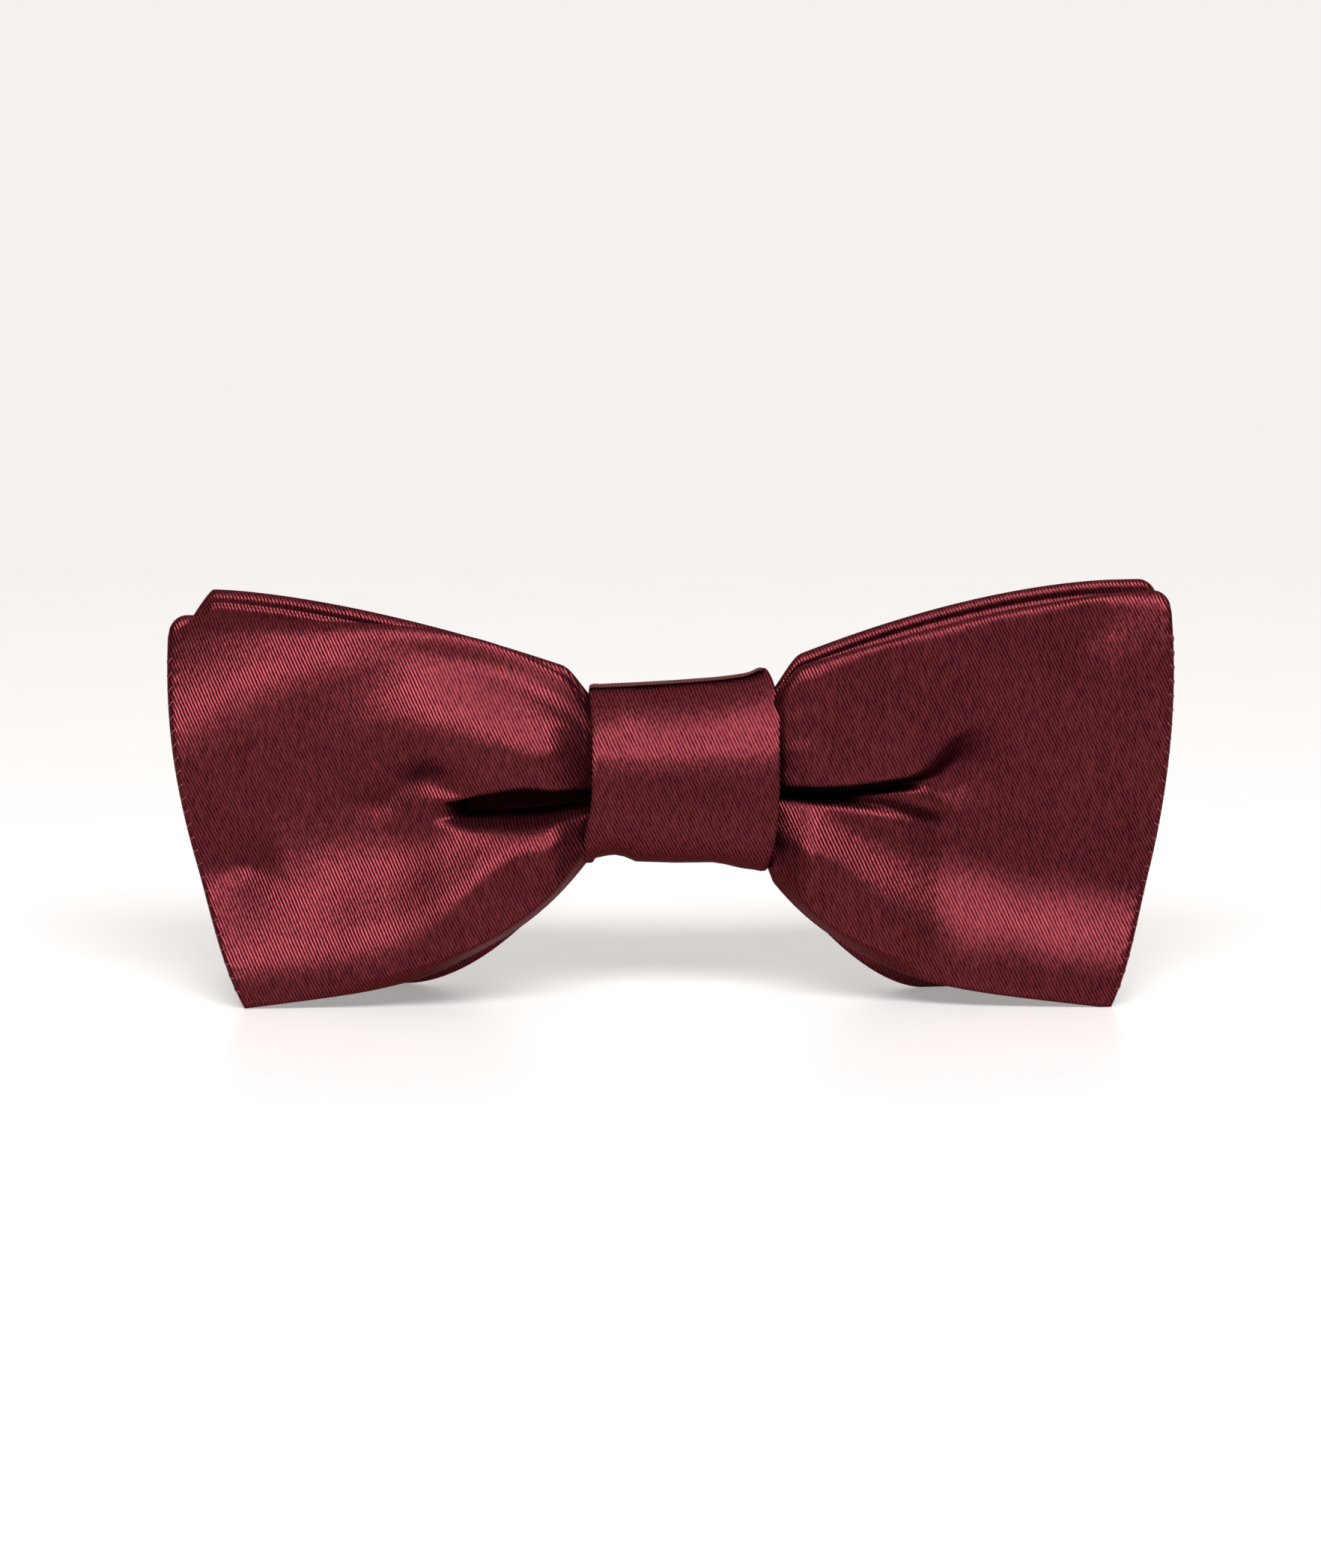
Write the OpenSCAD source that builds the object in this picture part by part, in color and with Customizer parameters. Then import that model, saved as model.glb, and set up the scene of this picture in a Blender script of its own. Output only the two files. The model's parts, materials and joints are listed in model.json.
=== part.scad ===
// Pre-tied satin bow tie on a steel collar clip.
// Two flat satin sleeves are pinched one behind the other and bound with thread.
// A satin band wraps the pinch as the knot, and holds a two-jaw clip plate at the back.
// +X is the wearer's left, seen from the front on the right; the front faces -Y; +Z is up.
// The origin is on the table, under the middle of the bow's box.

/* [Bow] */
// Width over both wings
bow_w = 120; // [110:1:130]
// Height of the front left wing at its outer end
left_h = 45.5; // [42:0.5:48]
// Height of the front right wing at its outer end
right_h = 49; // [46:0.5:51]
// How far the knot sits to the right of the middle
knot_x = 1.7; // [0:0.1:3]
// Height of the knot's middle above the table
knot_z = 28; // [26:0.5:29]

/* [Layers] */
// Depth between the two sleeves at the left ends
left_splay = 19.5; // [15:0.5:21]
// Depth between the two sleeves at the right ends
right_splay = 13.5; // [12:0.5:18]
// How far the front lobes puff forward beside the knot
puff = 6; // [4:0.5:7]

/* [Cloth] */
// Thickness of one ply of satin
satin_t = 0.5; // [0.4:0.05:0.5]
// Thickness of the interlining
lining_t = 0.4; // [0.3:0.05:0.4]

/* [Knot] */
// Width of the knot band
knot_w = 22; // [20:0.5:23]
// Thickness of the folded knot band
band_t = 0.7; // [0.6:0.05:0.7]

/* [Clip] */
// Length of the clip plate
plate_l = 54; // [52:0.5:56]
// Height of the clip plate
plate_h = 11; // [11:0.5:12]
// Thickness of the clip's steel
steel_t = 0.8; // [0.7:0.05:0.8]
// Radius of the hinge pins
pin_r = 0.7; // [0.6:0.05:0.7]

/* [Hidden] */

satin = [0.36, 0.09, 0.14];
lining = [0.88, 0.86, 0.82];
thread = [0.30, 0.07, 0.11];
steel = [0.75, 0.76, 0.78];

slack = 0.1;             // clearance between pieces that lie on each other
y_mid = -0.18;           // moves the whole stack so that its box is centred on the origin
steps_u = 16;            // stations along one wing
steps_v = 12;            // points up one ply
half_w = bow_w / 2;

// The pinch: the part of both sleeves that the knot band covers.
pinch_x = knot_w / 2 - 0.4;
pinch_h = 9.3;
flat_t = 0.9;            // half the thickness of a sleeve where it lies flat
front_y = -6.6;          // middle of the front sleeve at the pinch
rear_y = -0.6;           // middle of the rear sleeve at the pinch
core_front = -10.3;      // foremost and rearmost faces of the bound pinch
core_back = 2.9;

// Each wing: side, outer reach at the top and foot, height, edge curves, depth at the end, lobes.
// [side, reach_top, reach_foot, h, k_top, k_foot, y_pinch, y_end, front puffs, rear puffs, corner]
front_left = [-1, half_w + knot_x, half_w - 9.5 + knot_x, left_h, 3, 2.8,
    front_y, front_y - 2.9, [2.8, puff], [0.8, 1.6], 3];
front_right = [1, half_w - knot_x, half_w - 7.8 - knot_x, right_h, 2.3, 3.2,
    front_y, front_y - 1.4, [2.8, puff], [0.8, 1.6], 4];
rear_left = [-1, half_w - 1.6 + knot_x, half_w - 10.5 + knot_x, left_h + 2, 1.5, 2.6,
    rear_y, front_y - 2.9 + left_splay, [1.8, 1.6], [2.6, 1.6], 3];
rear_right = [1, half_w - 1.4 - knot_x, half_w - 9 - knot_x, right_h + 0.7, 2, 3.2,
    rear_y, front_y - 1.4 + right_splay, [1.8, 1.6], [2.6, 1.6], 4];

function clamp01(t) = min(1, max(0, t));
function ease(t) = let (c = clamp01(t)) c * c * (3 - 2 * c);
function mix(a, b, t) = a + (b - a) * t;

// ---- Shape of a wing: u runs from the pinch to the end seam, v from the foot to the top ----
function end_reach(w, v) = mix(w[2], w[1], sin(90 * pow(v, 0.9)));
function wing_x(w, u, v) = knot_x + w[0] * mix(pinch_x, end_reach(w, v), u);
function corner_drop(w, u) =
    let (t = clamp01(((u - 1) * w[1] + w[10]) / w[10])) w[10] * (1 - sqrt(1 - t * t));
function wing_top(w, u) =
    w[3] - (w[3] - knot_z - pinch_h) * pow(1 - u, w[4]) - corner_drop(w, u);
function wing_foot(w, u) = (knot_z - pinch_h) * pow(1 - u, w[5]) - 0.15 * ease((u - 0.75) * 4);
function wing_y(w, u) = mix(w[6], w[7], u * u);

// A puff starts at the pinch, swells beside the knot and dies out at the end seam.
function swell(p, u) = mix(p[0], p[1], ease(u / 0.25)) * (1 - ease((u - 0.2) / 0.8));
function lobe(v) = pow(sin(180 * v), 0.7);
function crease(u, v) = (1 - ease(u / 0.6)) * exp(-pow((v - 0.5) / mix(0.12, 0.25, u), 2));
function rounding(v) = sqrt(1 - pow(abs(2 * v - 1), 6));
function thick(p, u, v, t) = t * rounding(v) + swell(p, u) * lobe(v) * (1 - 0.9 * crease(u, v));

function front_face(w, u, v, t) = wing_y(w, u) - thick(w[8], u, v, t);
function rear_face(w, u, v, t) = wing_y(w, u) + thick(w[9], u, v, t);

function wing_z(w, u, v, in) = mix(wing_foot(w, u) + in, wing_top(w, u) - in, v);
function front_point(w, u, v, in) =
    [wing_x(w, u, v), y_mid + front_face(w, u, v, flat_t - in), wing_z(w, u, v, in)];
function rear_point(w, u, v, in) =
    [wing_x(w, u, v), y_mid + rear_face(w, u, v, flat_t - in), wing_z(w, u, v, in)];

// Stations crowd together beside the knot and at the rounded end corners.
function station(i) = 0.5 - 0.5 * cos(180 * i / steps_u);
function rise(j) = 0.5 - 0.5 * cos(180 * j / steps_v);

// One ring of points round a sleeve: up the front ply and down the rear ply.
function ring(w, u, in) = concat(
    [for (j = [0 : steps_v]) front_point(w, u, rise(j), in)],
    [for (j = [1 : steps_v - 1]) rear_point(w, u, 1 - rise(j), in)]
);

// Triangles of a skin over rings of n points; flip turns them round.
function skin(n_rings, n, first, flip) = [
    for (i = [0 : n_rings - 2], j = [0 : n - 1])
    let (
        a = first + i * n + j,
        b = first + i * n + (j + 1) % n,
        c = a + n,
        d = b + n
    )
    each flip ? [[a, b, c], [b, d, c]] : [[a, c, b], [b, c, d]]
];

// Triangles of the flat end between an outer and an inner ring.
function rim(outer, inner, n, flip) = [
    for (j = [0 : n - 1])
    let (
        a = outer + j,
        b = outer + (j + 1) % n,
        c = inner + j,
        d = inner + (j + 1) % n
    )
    each flip ? [[a, b, c], [b, d, c]] : [[a, c, b], [b, c, d]]
];

// Stations from the left end seam, through the pinch, to the right end seam.
function rings(left, right, in) = concat(
    [for (i = [steps_u : -1 : 0]) ring(left, station(i), in)],
    [for (i = [0 : steps_u]) ring(right, station(i), in)]
);

// A sleeve of one folded ply: an outer and an inner skin joined at both ends.
module sleeve(left, right) {
    n = 2 * steps_v;
    count = 2 * steps_u + 2;
    inner = count * n;
    last = (count - 1) * n;
    pts = [for (r = concat(rings(left, right, 0), rings(left, right, satin_t))) each r];
    faces = concat(
        skin(count, n, 0, false),
        skin(count, n, inner, true),
        rim(0, inner, n, true),
        rim(last, inner + last, n, false)
    );
    color(satin) intersection() {
        polyhedron(pts, faces, convexity = 6);
        translate([-bow_w, -bow_w, 0]) cube(2 * bow_w);
    }
}

// The interlining hangs behind the front ply and stops two stations short of every fold and seam.
lining_margin = 2;
lining_cols = steps_v + 1 - 2 * lining_margin;
function lining_row(w, u, in) = [
    for (j = [lining_margin : steps_v - lining_margin])
    let (p = front_point(w, u, rise(j), satin_t))
    [p[0], p[1] + slack + in, p[2]]
];
function lining_rows(left, right, in) = concat(
    [for (i = [steps_u - lining_margin : -1 : 0]) lining_row(left, station(i), in)],
    [for (i = [0 : steps_u - lining_margin]) lining_row(right, station(i), in)]
);

// A sheet between two equal grids of points, rows by cols.
function sheet_faces(rows, cols) =
    let (far = rows * cols)
    concat(
        [for (i = [0 : rows - 2], j = [0 : cols - 2])
            let (a = i * cols + j, b = a + 1, c = a + cols, d = c + 1)
            each [[a, c, b], [b, c, d], [far + a, far + b, far + c], [far + b, far + d, far + c]]],
        [for (i = [0 : rows - 2])
            let (a = i * cols, c = a + cols, b = a + cols - 1, d = c + cols - 1)
            each [[a, far + a, c], [c, far + a, far + c], [b, d, far + b], [d, far + d, far + b]]],
        [for (j = [0 : cols - 2])
            let (a = j, b = j + 1, c = (rows - 1) * cols + j, d = c + 1)
            each [[a, b, far + a], [b, far + b, far + a], [c, far + c, d], [d, far + c, far + d]]]
    );

module interlining(left, right) {
    rows = 2 * (steps_u - lining_margin) + 2;
    pts = [
        for (r = concat(lining_rows(left, right, 0), lining_rows(left, right, lining_t))) each r
    ];
    color(lining) polyhedron(pts, sheet_faces(rows, lining_cols), convexity = 6);
}

// A round strand swept along points whose direction stays close to +Z or winds about it.
function unit(v) = v / norm(v);
function tangent(path, i) =
    unit(path[min(i + 1, len(path) - 1)] - path[max(i - 1, 0)]);
function strand_ring(path, i, r, sides, up) =
    let (
        t = tangent(path, i),
        a = unit(cross(up, t)),
        b = cross(t, a)
    )
    [for (k = [0 : sides - 1]) path[i] + r * (cos(360 * k / sides) * a + sin(360 * k / sides) * b)];
module strand(path, r, sides = 8, up = [0, 1, 0]) {
    n = len(path);
    pts = concat(
        [for (i = [0 : n - 1]) each strand_ring(path, i, r, sides, up)],
        [path[0], path[n - 1]]
    );
    faces = concat(
        skin(n, sides, 0, true),
        [for (k = [0 : sides - 1]) [(k + 1) % sides, k, n * sides]],
        [for (k = [0 : sides - 1]) [(n - 1) * sides + k, (n - 1) * sides + (k + 1) % sides, n * sides + 1]]
    );
    polyhedron(pts, [for (f = faces) [f[2], f[1], f[0]]], convexity = 4);
}

// The end-seam thread runs between the two plies, just inside each outer edge.
thread_r = 0.15;
function seam_path(w) = [
    for (j = [2 : steps_v - 2])
    let (v = rise(j), u = 0.985)
    [wing_x(w, u, v), y_mid + wing_y(w, u) + 0.1, wing_z(w, u, v, 0)]
];
module seam_thread(left, right) {
    color(thread) {
        strand(seam_path(left), thread_r, 6);
        strand(seam_path(right), thread_r, 6);
    }
}

// ---- Knot ----
// Rounded rectangle in the YZ plane as a polygon with arcs at its corners.
function round_rect(y0, y1, h, r) = [
    for (c = [[y1 - r, h - r, 0], [y0 + r, h - r, 90], [y0 + r, r - h, 180], [y1 - r, r - h, 270]])
    each [for (k = [0 : 6]) [c[0] + r * cos(c[2] + 15 * k), c[1] + r * sin(c[2] + 15 * k)]]
];

// A closed loop round the pinch, its inner faces at y0 and y1, width w along X.
module loop(y0, y1, h, t, r, w) {
    translate([knot_x - w / 2, y_mid, knot_z])
        rotate([90, 0, 90])
            linear_extrude(w)
                difference() {
                    polygon(round_rect(y0 - t, y1 + t, h + t, r + t));
                    polygon(round_rect(y0, y1, h, r));
                }
}

wind_t = 0.45;           // thickness of the gathering thread
plate_y = core_back + wind_t + 0.65;
knot_front = core_front - wind_t - 0.25;
knot_back = plate_y + steel_t + 0.15;
knot_in_h = pinch_h + wind_t + 0.25;
wrap_t = lining_t + 0.1 + slack;

module gathering_thread() {
    color(thread)
        for (k = [-2 : 2])
            translate([k * (wind_t + 0.1), 0, 0])
                loop(core_front - 0.15, core_back + 0.15, pinch_h + 0.15, wind_t, 1, wind_t);
}

module knot_interlining() {
    color(lining) loop(knot_front, knot_back, knot_in_h, lining_t + 0.1, 1.4, knot_w - 3);
}

// The band's outer end laps over its inner end on the back and stops above the middle.
band_back = knot_back + wrap_t + band_t;
band_h = knot_in_h + wrap_t + band_t;
flap_top = 3;
module knot_band() {
    color(satin) {
        loop(knot_front - wrap_t, knot_back + wrap_t, knot_in_h + wrap_t, band_t, 1.9, knot_w);
        translate([knot_x - knot_w / 2 + 0.5, y_mid + band_back, knot_z])
            rotate([90, 0, 90])
                linear_extrude(knot_w - 1)
                    polygon([[-0.01, -6], [0.3, -5.4], [0.6, -4.5], [0.6, flap_top - 0.2],
                        [0.4, flap_top], [-0.01, flap_top]]);
    }
}

// Slip stitches that close the lap.
module knot_stitches() {
    color(thread)
        for (k = [-3 : 3])
            translate([knot_x + k * 2.8, y_mid + band_back + 0.6 + 0.22, knot_z + flap_top - 1.1])
                rotate([0, 12, 0])
                    cylinder(h = 1.8, r = 0.2, $fn = 24);
}

// ---- Clip ----
plate_face = plate_y + steel_t;
hinge_x = 16;            // hinge pins, from the knot's middle
hinge_y = plate_face + 2.6;
ear_w = 4.4;
ear_gap = 0.2;           // between the plate's ears and the lever's ears
hole_r = 0.8;
hole_x = knot_w / 2 + 1.4;
hole_z = plate_h / 2 - 2;
jaw_l = 11;              // from the pin to the jaw's tip
tab_l = 8;               // from the pin to the thumb tab's end
lever_h = plate_h - 2 * steel_t - 2 * ear_gap;

// Runs its children at the clip's hinge: side 1 is right, -1 is left, local X outwards.
module at_hinge(side) {
    translate([knot_x, y_mid, knot_z])
        mirror([side < 0 ? 1 : 0, 0, 0])
            translate([hinge_x, hinge_y, 0])
                children();
}

module plate_ears() {
    for (s = [-1, 1])
        translate([0, 0, s * (plate_h - steel_t) / 2])
            difference() {
                union() {
                    translate([-ear_w / 2, -2.7, -steel_t / 2]) cube([ear_w, 2.7, steel_t]);
                    cylinder(h = steel_t, r = ear_w / 2, center = true, $fn = 48);
                }
                cylinder(h = 2 * steel_t, r = pin_r, center = true, $fn = 48);
            }
}

module clip_plate() {
    end_r = 2;
    color(steel) {
        difference() {
            translate([knot_x, y_mid + plate_face, knot_z])
                rotate([90, 0, 0])
                    linear_extrude(steel_t)
                        union() {
                            square([plate_l - 2 * end_r, plate_h], center = true);
                            square([plate_l, plate_h - 2 * end_r], center = true);
                            for (sx = [-1, 1], sz = [-1, 1])
                                translate([sx * (plate_l / 2 - end_r), sz * (plate_h / 2 - end_r)])
                                    circle(end_r, $fn = 48);
                        }
            for (sx = [-1, 1], sz = [-1, 1])
                translate([knot_x + sx * hole_x, y_mid + plate_y - 1, knot_z + sz * hole_z])
                    rotate([-90, 0, 0])
                        cylinder(h = steel_t + 2, r = hole_r, $fn = 32);
        }
        at_hinge(1) plate_ears();
        at_hinge(-1) plate_ears();
    }
}

// Thread staples through the plate's four holes, over its long edges.
module clip_stitches() {
    edge = plate_h / 2 - hole_z;
    t = 0.3;
    color(thread)
        for (sx = [-1, 1], sz = [-1, 1], k = [-1, 0, 1])
            translate([knot_x + sx * hole_x + k * 0.4 - 0.17, y_mid + plate_y, knot_z])
                mirror([0, 0, sz < 0 ? 1 : 0])
                    translate([0, 0, hole_z])
                        rotate([90, 0, 90])
                            linear_extrude(0.34)
                                difference() {
                                    translate([-t - 0.05, -0.35])
                                        square([steel_t + 2 * t + 0.1, edge + t + 0.4]);
                                    translate([-0.05, -0.05]) square([steel_t + 0.1, edge + 0.1]);
                                }
}

module clip_pin(side) {
    color(steel)
        at_hinge(side) {
            cylinder(h = plate_h, r = pin_r, center = true, $fn = 48);
            for (s = [-1, 1])
                translate([0, 0, s * (plate_h / 2 + 0.2)])
                    cylinder(h = 0.4, r = pin_r + 0.45, center = true, $fn = 48);
        }
}

// The lever's side view: thumb tab, bridge over the pin, arm and turned-down jaw.
lever_line = [[-tab_l, 4.9], [-4.6, 3.3], [-2, 2.3], [2.5, 2.3], [9.4, -0.6], [jaw_l, -2.1]];
function offset_line(line, d) = [
    for (i = [0 : len(line) - 1])
    let (
        a = unit(line[i] - line[max(i - 1, 0)] + [1e-9, 0]),
        b = unit(line[min(i + 1, len(line) - 1)] - line[i] + [1e-9, 0]),
        p = i == 0 ? b : a,
        q = i == len(line) - 1 ? a : b,
        m = unit([-p[1] - q[1], p[0] + q[0]])
    )
    line[i] + m * d / (m * [-p[1], p[0]])
];
function reversed(list) = [for (i = [len(list) - 1 : -1 : 0]) list[i]];

module lever_plate() {
    d = steel_t / 2;
    translate([0, 0, -lever_h / 2])
        linear_extrude(lever_h)
            polygon(concat(offset_line(lever_line, d), reversed(offset_line(lever_line, -d))));
}

module lever_ears() {
    for (s = [-1, 1])
        translate([0, 0, s * (lever_h - steel_t) / 2])
            union() {
                translate([-1.6, 0, -steel_t / 2]) cube([3.2, 2.3, steel_t]);
                cylinder(h = steel_t, r = 1.6, center = true, $fn = 48);
            }
}

// Teeth along the jaw's edge bite the collar against the plate.
module jaw_teeth() {
    count = 5;
    pitch = lever_h / count;
    for (k = [0 : count - 1])
        translate([jaw_l - 0.2, -2.05, -lever_h / 2 + (k + 0.5) * pitch])
            rotate([90, 0, 0])
                cylinder(h = 0.35, r1 = 0.5, r2 = 0.1, $fn = 24);
}

module clip_lever(side) {
    color(steel)
        at_hinge(side)
            difference() {
                union() {
                    lever_plate();
                    lever_ears();
                    jaw_teeth();
                }
                cylinder(h = plate_h, r = pin_r + 0.05, center = true, $fn = 48);
            }
}

// Torsion spring: a coil round the pin, one leg on the plate and one under the thumb tab.
wire_r = 0.2;
coil_r = 1.2;
coil_turns = 4.5;
coil_l = 3.6;
coil_steps = 14;         // points a turn
function coil_path() = concat(
    [[-6, -2.3, -coil_l / 2 - 0.3], [-3, -2.1, -coil_l / 2 - 0.3]],
    [for (i = [0 : coil_turns * coil_steps])
        let (a = 270 + 360 * i / coil_steps)
        [coil_r * cos(a), coil_r * sin(a), mix(-coil_l / 2, coil_l / 2, i / (coil_turns * coil_steps))]],
    [[-2.2, 1.5, coil_l / 2 + 0.1], [-6, 3.2, coil_l / 2 + 0.1]]
);
module clip_spring(side) {
    color(steel)
        at_hinge(side)
            strand(coil_path(), wire_r, 6, [0, 0, 1]);
}

sleeve(front_left, front_right);  // front_sleeve
interlining(front_left, front_right);  // front_interlining
seam_thread(front_left, front_right);  // front_seam_thread
sleeve(rear_left, rear_right);  // rear_sleeve
interlining(rear_left, rear_right);  // rear_interlining
seam_thread(rear_left, rear_right);  // rear_seam_thread
gathering_thread();
knot_interlining();
knot_band();
knot_stitches();
clip_plate();
clip_stitches();
clip_pin(-1);  // clip_pin_left
clip_spring(-1);  // clip_spring_left
clip_lever(-1);  // clip_lever_left
clip_pin(1);  // clip_pin_right
clip_spring(1);  // clip_spring_right
clip_lever(1);  // clip_lever_right
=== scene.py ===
# %% [markdown]
# # A pre-tied satin bow tie
#
# The real bow is two flat satin sleeves, one behind the other. Thread gathers both in the
# middle, a folded satin band hides the gathers as the knot, and a steel clip behind the knot
# grips the collar. The clip's plate, jaws and pins and the stitches that hold them are already
# right in the CAD frame, so they only get better finishes here. The cloth is built again,
# because cloth is all about how it folds, and so are the threads that follow the cloth and
# the clip's coiled springs.

# %% Load the frame
import json
import math

import bpy
import numpy as np
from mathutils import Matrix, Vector


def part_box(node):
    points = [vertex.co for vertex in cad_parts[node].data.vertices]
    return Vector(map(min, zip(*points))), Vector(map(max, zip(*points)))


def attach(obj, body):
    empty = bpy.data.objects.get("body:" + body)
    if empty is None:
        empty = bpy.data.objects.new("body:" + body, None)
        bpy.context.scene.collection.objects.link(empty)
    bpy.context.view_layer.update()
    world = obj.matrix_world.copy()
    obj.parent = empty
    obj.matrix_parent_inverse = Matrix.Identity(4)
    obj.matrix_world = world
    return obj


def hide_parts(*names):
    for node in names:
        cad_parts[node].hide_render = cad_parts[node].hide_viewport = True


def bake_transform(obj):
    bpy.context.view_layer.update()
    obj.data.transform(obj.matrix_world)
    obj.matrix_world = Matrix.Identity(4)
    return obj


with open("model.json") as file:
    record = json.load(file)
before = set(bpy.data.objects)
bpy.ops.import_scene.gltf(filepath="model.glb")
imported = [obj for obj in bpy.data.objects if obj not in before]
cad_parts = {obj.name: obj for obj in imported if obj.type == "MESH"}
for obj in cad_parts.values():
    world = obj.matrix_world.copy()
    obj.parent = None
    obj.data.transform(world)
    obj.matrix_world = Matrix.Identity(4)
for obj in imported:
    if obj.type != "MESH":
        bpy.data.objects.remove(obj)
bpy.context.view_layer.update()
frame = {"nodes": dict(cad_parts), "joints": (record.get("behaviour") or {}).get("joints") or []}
bpy.ops.object.select_all(action="DESELECT")

# %% [markdown]
# ## Sizes from the frame
#
# Every size is worked out in millimetres from the boxes of the CAD nodes, and becomes metres
# when a mesh is made. The knot's middle and the bound core place everything else.

# %% Sizes from the frame
MM = 0.001
LEFT_SHARE = 0.93       # the left wing's height over the right one's
FRONT_GAP = 2.9         # from the core's middle forward to the front sleeve's
REAR_GAP = 3.1          # and back to the rear sleeve's


def box_mm(node):
    """A CAD node's lowest and highest corners in millimetres."""
    return [np.array(corner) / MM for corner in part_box(node)]


front_lo, front_hi = box_mm("front_sleeve")
rear_hi = box_mm("rear_sleeve")[1]
knot_lo, knot_hi = box_mm("knot_band")
core_lo, core_hi = box_mm("gathering_thread")

half_w = (front_hi[0] - front_lo[0]) / 2
right_h = front_hi[2]
left_h = right_h * LEFT_SHARE
knot_x, knot_z = (knot_lo[0] + knot_hi[0]) / 2, (core_lo[2] + core_hi[2]) / 2
core_y = (core_lo[1] + core_hi[1]) / 2
front_y, rear_y = core_y - FRONT_GAP, core_y + REAR_GAP
print(f"half width {half_w:.1f}, knot at x {knot_x:.1f} z {knot_z:.1f}, core at y {core_y:.2f} mm")

# %% [markdown]
# ## Helpers for shaping cloth
#
# Cloth shapes are heights over a sheet: how far a ply stands forward at each point. They are
# sums of smooth steps, round swells and creases, worked out for all points at once.


# %% Helpers for shaping cloth
def ease(t):
    """A smooth step from 0 to 1."""
    t = np.clip(t, 0, 1)
    return t * t * (3 - 2 * t)


def mix(a, b, t):
    return a + (b - a) * t


def bell(distance, width):
    """1 at no distance, and falling away smoothly over width on both sides."""
    return np.exp(-((distance / width) ** 2))


def swell(x, z, at, size, height, turn=0):
    """A round swell at a point, with a radius along and across its length, turned in degrees."""
    c, s = math.cos(math.radians(turn)), math.sin(math.radians(turn))
    dx, dz = x - at[0], z - at[1]
    return height * bell(dx * c + dz * s, size[0]) * bell(dz * c - dx * s, size[1])


def along(x, points):
    """A smooth curve through (x, value) points, level beyond its ends."""
    xs, vs = np.array(sorted(points), dtype=float).T
    step = np.diff(vs) / np.diff(xs)
    same = step[1:] * step[:-1] > 0
    mid = np.where(same, 2 * step[1:] * step[:-1] / np.where(same, step[1:] + step[:-1], 1), 0)
    slope = np.concatenate([[step[0]], mid, [step[-1]]])
    x = np.clip(x, xs[0], xs[-1])
    i = np.clip(np.searchsorted(xs, x) - 1, 0, len(xs) - 2)
    run = xs[i + 1] - xs[i]
    t = (x - xs[i]) / run
    return (mix(vs[i], vs[i + 1], ease(t))
            + run * t * (1 - t) * (slope[i] * (1 - t) - slope[i + 1] * t))


def quarter(distance, radius):
    """Rises from 0 to 1 over radius like a quarter of a circle."""
    t = 1 - np.clip(distance / radius, 0, 1)
    return np.sqrt(np.clip(1 - t * t, 0, 1))


# %% [markdown]
# ## Wings
#
# Each wing is a fan: narrow where it is gathered, wide at its end seam. Its top and foot are
# curves over x, and its end seam slants in towards the foot. u runs from the knot to the end
# seam and v from the foot to the top.


# %% Outline of a wing
class Wing:
    """One side of a sleeve: its outline and the bend of its middle surface."""

    def __init__(self, side, heel, tip, lean, top, foot, corner, depth, soft=(8, 8)):
        self.side = side        # -1 left, 1 right
        self.heel = heel        # outer end of the foot
        self.tip = tip          # how much further out the top reaches
        self.lean = lean        # how far round its arc the end seam goes, in degrees
        self.top = top          # (height, rise, start, run, power)
        self.foot = foot        # (height at the knot, start, run, power, share that is straight)
        self.corner = corner    # (run, drop) of the upper outer corner, round if they are equal
        self.depth = depth      # (y at the knot, y at the end, power)
        self.soft = soft        # how near the top and the foot the bulges start to fade

    def reach(self, v):
        return self.heel + self.tip * np.sin(np.radians(self.lean * v**0.88))

    def x_out(self, u, v):
        start = abs(self.side * knot_x + 9.4)
        return mix(start, self.reach(v), u)

    def top_z(self, x_out, u):
        height, rise, start, run, power = self.top
        t = np.clip((x_out - start) / run, 0, 1)
        run_in, drop = self.corner
        t_end = np.clip((u - 1) * self.reach(1) / run_in + 1, 0, 1)
        round_off = drop * (1 - np.sqrt(1 - t_end**2)) if run_in == drop else drop * t_end**1.2
        return height - rise * (1 - t) ** power - round_off

    def foot_z(self, x_out):
        height, start, run, power, straight = self.foot
        t = np.clip((x_out - start) / run, 0, 1)
        return height * mix((1 - t) ** power, 1 - t, straight)


# %% [markdown]
# ## Folds of each wing
#
# The front plies carry the character of the bow. Beside the knot each one is a single bulge
# with a deep slit at mid-height, because the gathers pull the middle of the cloth inwards.
# Away from the knot the slit fades into soft dents. Each wing has its own list of swells and
# creases, in millimetres from the bow's middle.


# %% Folds of each wing
def crease(x, z, line, depth, above, below, sharp=2.4):
    """A valley along line, with its own depth and its own width above and below."""
    q = z - along(x, line)
    width = np.where(q > 0, along(x, above), along(x, below))
    return along(x, depth) / (1 + np.abs(q / width) ** sharp)


def terrace(x, z, low, high, drop):
    """A slope that stands drop forward below the line low and has fallen away at the line high."""
    start, end = along(x, low), along(x, high)
    t = np.clip((z - start) / (end - start), 0, 1)
    return along(x, drop) * (1 - ease(t))


def apron_left(x, z):
    """The lower half of the left front wing, which leans forward towards its foot."""
    low = [(8, 20.5), (17, 18.8), (22, 15.4), (26, 11), (30, 7.2), (35, 4.2), (45, 2.6), (60, 2.2)]
    high = [(8, 24.2), (20, 23.6), (26, 22.8), (32, 21.6), (40, 20.6), (47, 18.6), (52, 16.6), (60, 15.6)]
    drop = [(8, 1.2), (18, 1.9), (24, 3.2), (30, 4.7), (38, 5.8), (60, 5.2)]
    return terrace(x, z, low, high, drop)


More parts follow.
